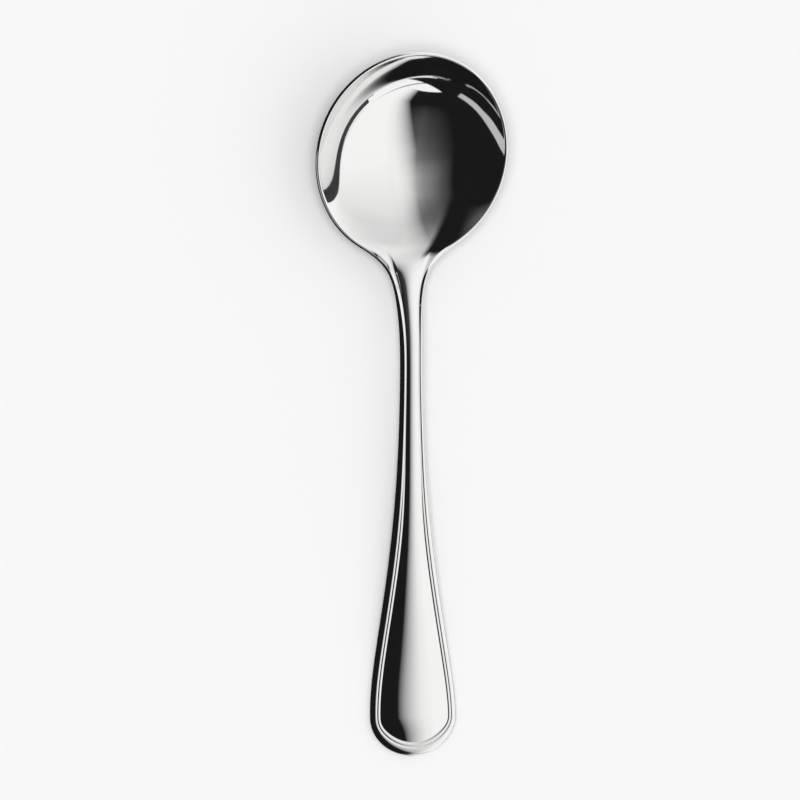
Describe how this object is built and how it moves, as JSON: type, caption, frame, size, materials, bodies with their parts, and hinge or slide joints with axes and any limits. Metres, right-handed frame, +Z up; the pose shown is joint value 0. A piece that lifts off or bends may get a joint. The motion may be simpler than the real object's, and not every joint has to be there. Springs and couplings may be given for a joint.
{
  "type": "soup spoon",
  "caption": "Round-bowl soup spoon in mirror-polished stainless steel, with a slim neck and a flared handle framed by a rolled border and a fine bead.",
  "frame": {"origin": "centre of the spoon's length and width, on the surface it lies on", "axes": "+Y along the spoon from the handle's end to the tip of the bowl, +Z up out of the bowl, +X to the right seen from above with the tip away"},
  "size_m": [0.0478, 0.17, 0.0184],
  "materials": {
    "polished_steel": "mirror-polished 18/10 stainless steel"
  },
  "bodies": {
    "root": {"spoon": "polished_steel"}
  },
  "joints": []
}
